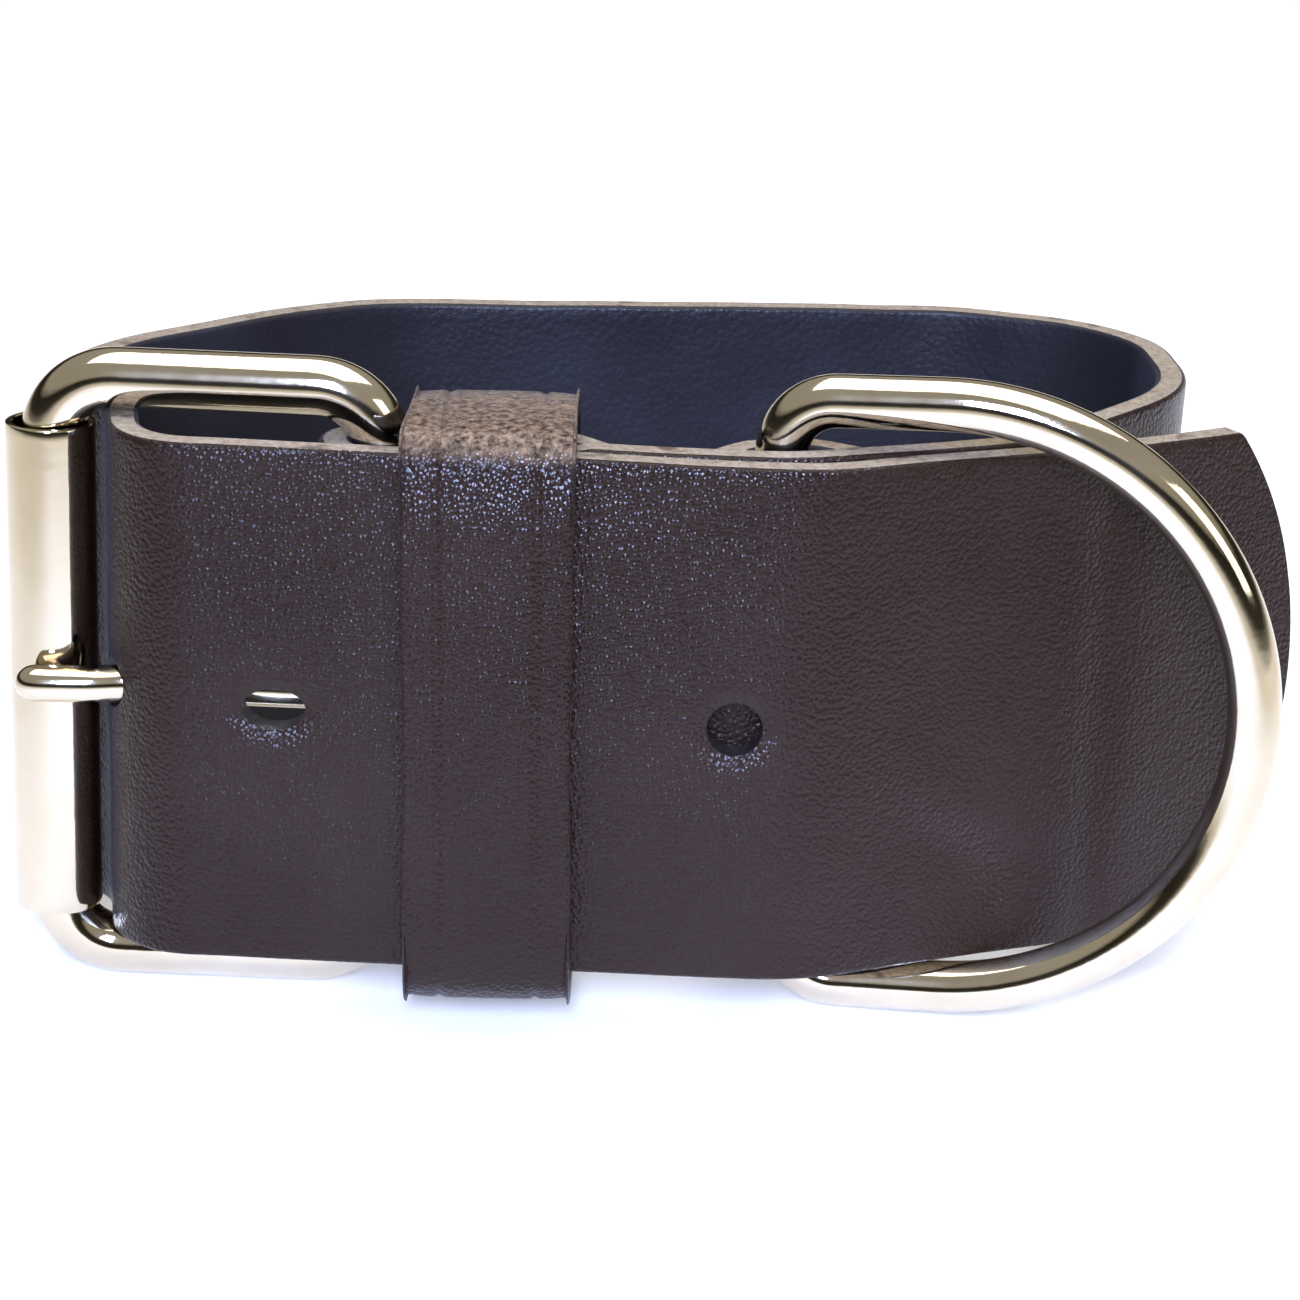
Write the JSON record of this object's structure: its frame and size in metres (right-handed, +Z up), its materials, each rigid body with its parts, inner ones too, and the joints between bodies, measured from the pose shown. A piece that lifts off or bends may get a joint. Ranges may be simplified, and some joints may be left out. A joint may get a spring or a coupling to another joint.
{
  "type": "dog collar",
  "caption": "Wide black leather dog collar, buckled into a loop, with a nickel roller buckle, a leather keeper and a large D-ring",
  "frame": {"origin": "centre of the collar's box in plan, at the surface it stands on", "axes": "+Z up, +X along the front from the buckle to the tip of the strap, -Y towards the viewer of the front"},
  "size_m": [0.1232, 0.077, 0.0635],
  "materials": {
    "black_leather": "satin",
    "polished_nickel": "polished",
    "rivet_nickel": "satin"
  },
  "bodies": {
    "collar": {"strap": "black_leather", "keeper": "black_leather", "buckle_frame": "polished_nickel", "buckle_prong": "polished_nickel", "rivet_left_low": "rivet_nickel", "rivet_left_high": "rivet_nickel", "rivet_right_low": "rivet_nickel", "rivet_right_high": "rivet_nickel"},
    "roller": {"buckle_roller": "polished_nickel"},
    "ring": {"d_ring": "polished_nickel"}
  },
  "joints": [
    {"name": "roller_spin", "type": "hinge", "parent": "collar", "child": "roller", "pos_m": [-0.05747, -0.02343, 0.0312], "axis": [0, 0.1071, 0.9942], "continuous": true},
    {"name": "ring_swing", "type": "hinge", "parent": "collar", "child": "ring", "pos_m": [0.01133, -0.02328, 0.03118], "axis": [0.0523, -0.1069, -0.9929], "range_deg": [0, 125]}
  ]
}
